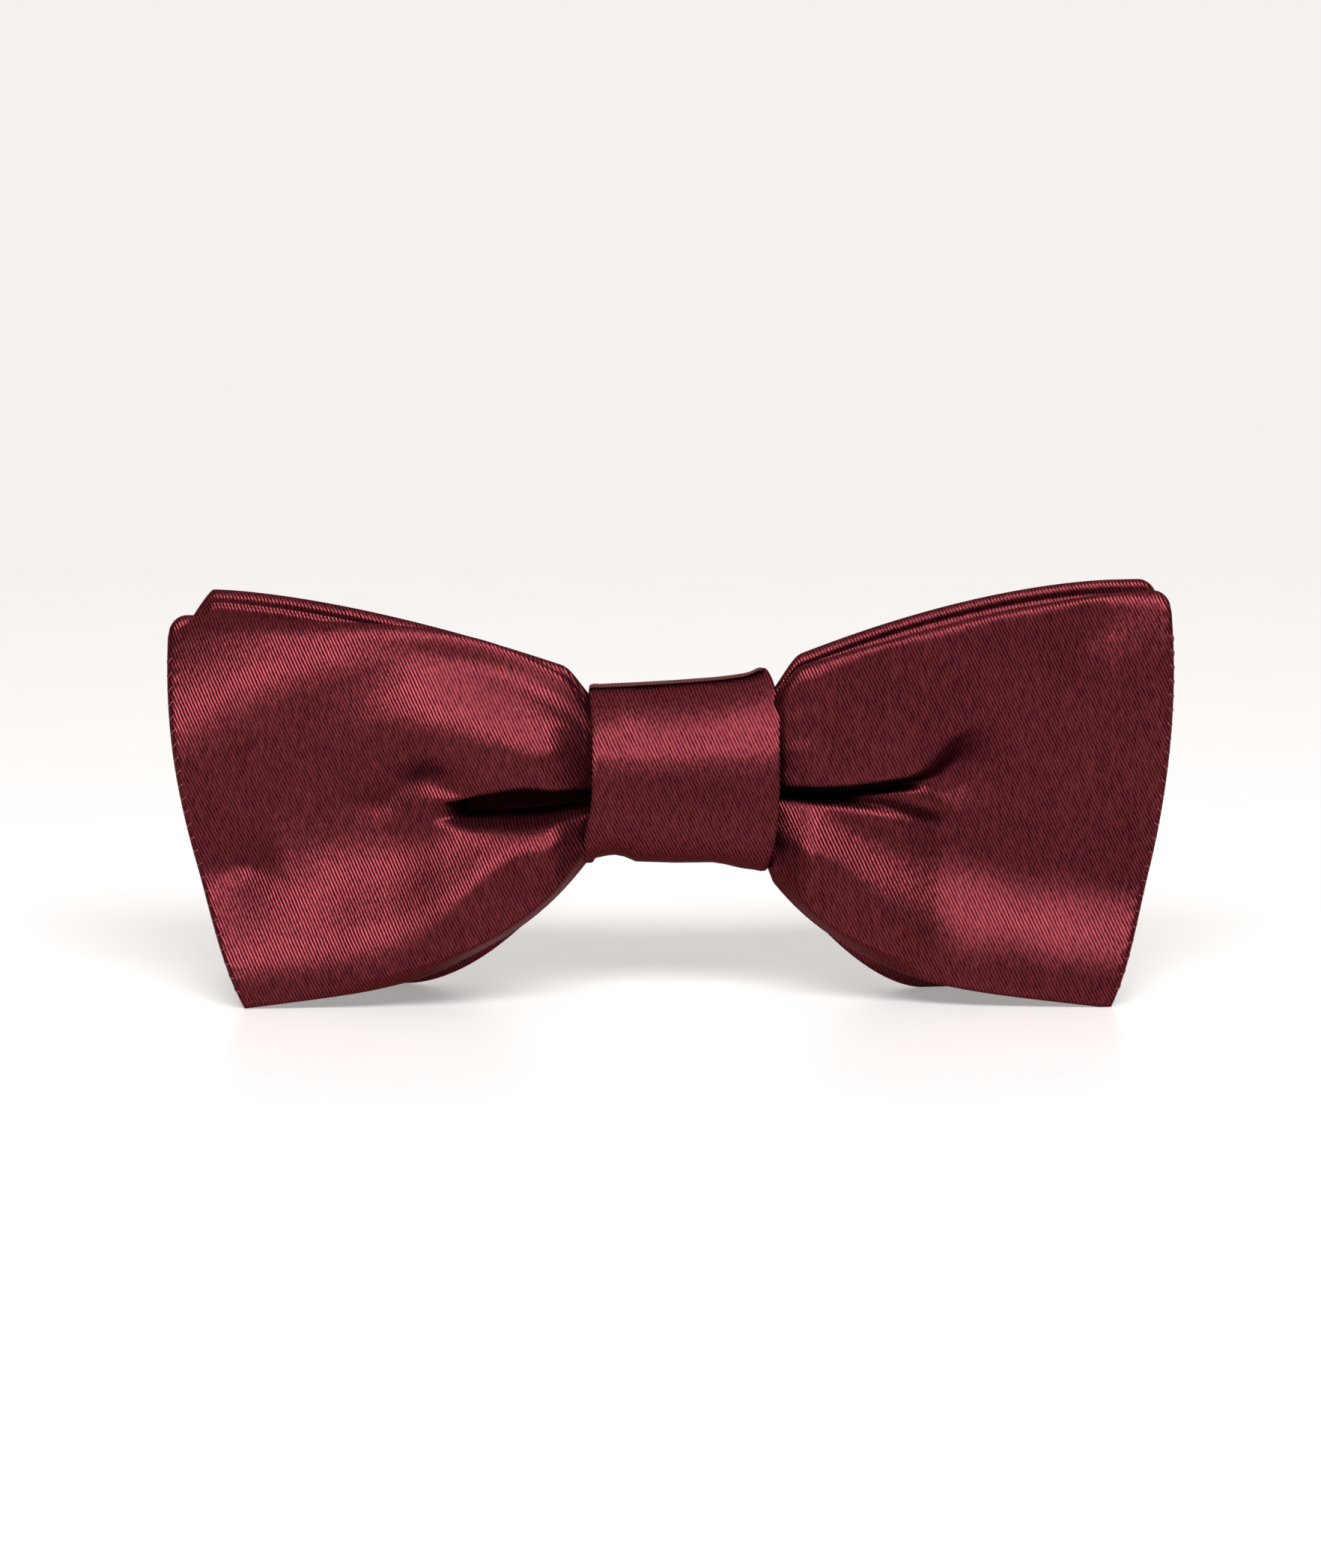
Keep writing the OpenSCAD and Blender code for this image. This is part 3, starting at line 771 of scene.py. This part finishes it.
world = bpy.data.worlds.new("studio")
world.use_nodes = True
sky = world.node_tree.nodes["Background"]
sky.inputs["Color"].default_value = (1.0, 0.985, 0.97, 1)
sky.inputs["Strength"].default_value = 0.2
bpy.context.scene.world = world
bpy.context.scene.view_settings.view_transform = "Standard"

bpy.ops.mesh.primitive_plane_add(size=1, location=(0, 0, 0))
floor = bpy.context.active_object
floor.name = "floor"
floor.scale = (3, 1.36, 1)
floor.location = (0, -0.32, 0)
bpy.ops.object.transform_apply(location=True, rotation=False, scale=True)
bpy.ops.mesh.primitive_plane_add(size=1, location=(0, 0, 0))
wall = bpy.context.active_object
wall.name = "backdrop"
wall.scale = (4, 2, 1)
wall.rotation_euler = (math.radians(90), 0, 0)
wall.location = (0, 0.8, 0)
bpy.ops.object.transform_apply(location=True, rotation=True, scale=True)

CAMERA_LENS, CAMERA_AWAY, CAMERA_UP = 134.5, 0.7, math.radians(10)
camera_data = bpy.data.cameras.new("camera")
camera_data.lens = CAMERA_LENS
camera = bpy.data.objects.new("camera", camera_data)
bpy.context.collection.objects.link(camera)
aim = Vector((-0.95, -4, 25.75)) * MM
back = Vector((0, -math.cos(CAMERA_UP), math.sin(CAMERA_UP)))
camera.location = aim + back * CAMERA_AWAY
camera.rotation_euler = (-back).to_track_quat("-Z", "Y").to_euler()
bpy.context.scene.camera = camera
print("camera at", [round(v, 3) for v in camera.location])

# %% [markdown]
# ## Materials
#
# Every finish is made of noise and waves over the object's own coordinates, so nothing slides, and only the
# satin also carries painted shade: a darkening in its folds that the cloth's points carry. Shader maths
# reads best as plain sums, so one small class wraps a socket and turns + - * into Math nodes, and one method
# makes any other node.


# %% Shader maths
class Value:
    """A socket that takes part in shader maths."""

    def __init__(self, shader, socket):
        self.shader, self.socket = shader, socket

    def _math(self, operation, *inputs):
        return self.shader.node("ShaderNodeMath", {"operation": operation}, inputs)

    def __add__(self, other):
        return self._math("ADD", self, other)

    def __radd__(self, other):
        return self._math("ADD", other, self)

    def __sub__(self, other):
        return self._math("SUBTRACT", self, other)

    def __rsub__(self, other):
        return self._math("SUBTRACT", other, self)

    def __mul__(self, other):
        return self._math("MULTIPLY", self, other)

    def __rmul__(self, other):
        return self._math("MULTIPLY", other, self)


OBJECT = 3              # the Object output of a Texture Coordinate node


class Shader:
    """A material's node tree, built by calls instead of by hand."""

    def __init__(self, name):
        self.material = bpy.data.materials.new(name)
        self.material.use_nodes = True
        self.tree = self.material.node_tree
        self.main = self.tree.nodes["Principled BSDF"]

    def node(self, kind, settings=None, inputs=(), out=0):
        made = self.tree.nodes.new(kind)
        for key, value in (settings or {}).items():
            setattr(made, key, value)
        pairs = inputs.items() if isinstance(inputs, dict) else enumerate(inputs)
        for key, value in pairs:
            self.plug(made.inputs[key], value)
        return Value(self, made.outputs[out])

    def plug(self, socket, value):
        if isinstance(value, Value):
            self.tree.links.new(value.socket, socket)
        else:
            socket.default_value = value

    def set(self, **values):
        """Sets sockets of the main shader, with _ for the blanks in their names."""
        for key, value in values.items():
            self.plug(self.main.inputs[key.replace("_", " ")], value)

    def place(self, scale=(1, 1, 1), turn=0.0):
        """Object coordinates, turned about Y and scaled."""
        where = self.node("ShaderNodeTexCoord", out=OBJECT)
        return self.node("ShaderNodeMapping", None,
                         {"Vector": where, "Scale": scale, "Rotation": (0, turn, 0)})

    def noise(self, where, scale, detail=2):
        return self.node("ShaderNodeTexNoise", None, {"Vector": where, "Scale": scale, "Detail": detail})

    def wave(self, phase):
        """A sine wave from -1 to 1."""
        return self.node("ShaderNodeMath", {"operation": "SINE"}, [phase])

    def relief(self, height, strength, depth_mm):
        """Bumps the surface by a height."""
        self.set(Normal=self.node("ShaderNodeBump", None, {
            "Strength": strength, "Distance": depth_mm * MM, "Height": height}))

    def split(self, vector):
        """The three parts of a vector."""
        parts = self.tree.nodes.new("ShaderNodeSeparateXYZ")
        self.plug(parts.inputs[0], vector)
        return [Value(self, part) for part in parts.outputs]

    def tint(self, a, b, factor):
        """Colour a at factor 0 and colour b at 1."""
        return self.node("ShaderNodeMix", {"data_type": "RGBA"}, {0: factor, 6: a, 7: b}, out=2)


# %% Finishes
TWILL = 0.38            # millimetres from one twill line to the next
# The colour the deepest folds are painted with, as painted shade.
PAINTED_SHADE_COLOUR = (0.004, 0.0005, 0.001, 1)


def pitch_to_phase(pitch_mm):
    """How fast a wave's phase runs, in radians a metre, for lines pitch_mm apart."""
    return 2 * math.pi / (pitch_mm * MM)


def satin(name, deep, bright, lean):
    """Burgundy satin: steep twill lines, slubs, a soft metallic gloss, and painted shade in its folds."""
    s = Shader(name)
    where = s.place()
    x, _, z = s.split(where)
    k, lean = pitch_to_phase(TWILL), math.radians(lean)
    wobble = s.noise(where, 900)
    twill = s.wave(x * (k * math.sin(lean)) + z * (k * math.cos(lean)) + wobble * 2.2) * 0.5 + 0.5
    slub = s.noise(s.place(scale=(1, 1, 0.3), turn=math.radians(25)), 2600, 3)
    cloud = s.noise(where, 70, 3)
    shade = twill * 0.7 + slub * 0.9 + cloud * 0.25 - 0.45
    # Painted shade: the amount each point carries pulls the colour towards the painted shade colour and
    # makes the folds more metallic, so they look dark.
    painted_fold = s.node("ShaderNodeAttribute", {"attribute_name": "painted_shade"}, out=2)
    s.set(Base_Color=s.tint(s.tint(deep, bright, shade), PAINTED_SHADE_COLOUR, painted_fold * 0.93))
    s.set(Roughness=0.31 + slub * 0.14, Metallic=0.87 + painted_fold * 0.13)
    s.set(Specular_Tint=(0.45, 0.14, 0.16, 1), Specular_IOR_Level=0.25)
    s.relief(twill + slub * 0.9, 0.9, 0.06)
    return s.material


def woven(name, deep, bright, pitch):
    """Plain-woven cotton: threads over and under each other, uneven and a little fluffy."""
    s = Shader(name)
    where = s.place()
    x, _, z = s.split(where)
    k = pitch_to_phase(pitch)
    uneven = s.noise(where, 700, 3)
    over = s.wave(x * k + uneven * 2) * s.wave(z * k + uneven * 2) * 0.5 + 0.5
    s.set(Base_Color=s.tint(deep, bright, over * 0.6 + uneven * 0.5), Roughness=0.8 + uneven * 0.2)
    s.set(Specular_IOR_Level=0.3)
    s.relief(over, 0.7, 0.08)
    return s.material


def twisted(name, deep, bright, pitch):
    """Sewing thread: plies twisted round each other, with a soft polyester gloss."""
    s = Shader(name)
    where = s.place()
    x, y, z = s.split(where)
    fluff = s.noise(where, 4000)
    plies = s.wave((x + y + z) * pitch_to_phase(pitch) + fluff * 2) * 0.5 + 0.5
    s.set(Base_Color=s.tint(deep, bright, plies * 0.7 + fluff * 0.3), Roughness=0.42 + fluff * 0.25)
    s.set(Specular_IOR_Level=0.3)
    s.relief(plies, 0.6, 0.05)
    return s.material


def metal(name, colour, rough):
    """Plated steel: fine drawn grain, and a plating that is a little dulled in places."""
    s = Shader(name)
    grain = s.noise(s.place(scale=(1, 1, 8)), 900, 3)
    wear = s.noise(s.place(), 160, 3)
    dulled = [c * 0.8 for c in colour]
    s.set(Base_Color=s.tint((*dulled, 1), (*colour, 1), wear))
    s.set(Metallic=1.0, Roughness=rough + grain * 0.12)
    s.relief(grain, 0.2, 0.02)
    return s.material


def dress(piece, material):
    piece.data.materials.clear()
    piece.data.materials.append(material)


satin_material = satin("burgundy_satin", (0.017, 0.0020, 0.0068, 1), (0.158, 0.0260, 0.0285, 1), 64)
steel = metal("nickel_plate", (0.60, 0.585, 0.555), 0.24)
wire = metal("spring_wire", (0.47, 0.46, 0.45), 0.28)
cotton = woven("interlining_cotton", (0.52, 0.50, 0.45, 1), (0.76, 0.74, 0.69, 1), 0.55)
thread = twisted("sewing_thread", (0.05, 0.006, 0.012, 1), (0.17, 0.022, 0.036, 1), 0.5)
FINISHES = [
    (satin_material, [front, rear, knot]),
    (cotton, [front_lining, rear_lining, knot_lining]),
    (thread, [winding, *seams]),
    (wire, springs),
]
for material, dressed in FINISHES:
    for piece in dressed:
        dress(piece, material)
    print(material.name, "on", [piece.name for piece in dressed])

# The CAD nodes that stay in view are the clip's steel parts and the stitches.
for node, part in frame["nodes"].items():
    is_steel = node.startswith("clip_") and "stitches" not in node
    for slot in part.material_slots:
        slot.material = steel if is_steel else thread

table = Shader("table")
table.set(Base_Color=(0.42, 0.406, 0.401, 1), Roughness=0.37 + table.noise(table.place(), 90, 3) * 0.06)
table.set(Emission_Color=(1, 0.965, 0.95, 1), Emission_Strength=0.33)
dress(floor, table.material)
glow = Shader("wall")
glow.set(Base_Color=(0, 0, 0, 1), Roughness=1.0)
glow.set(Emission_Color=(0.905, 0.871, 0.847, 1), Emission_Strength=1.0)
dress(wall, glow.material)
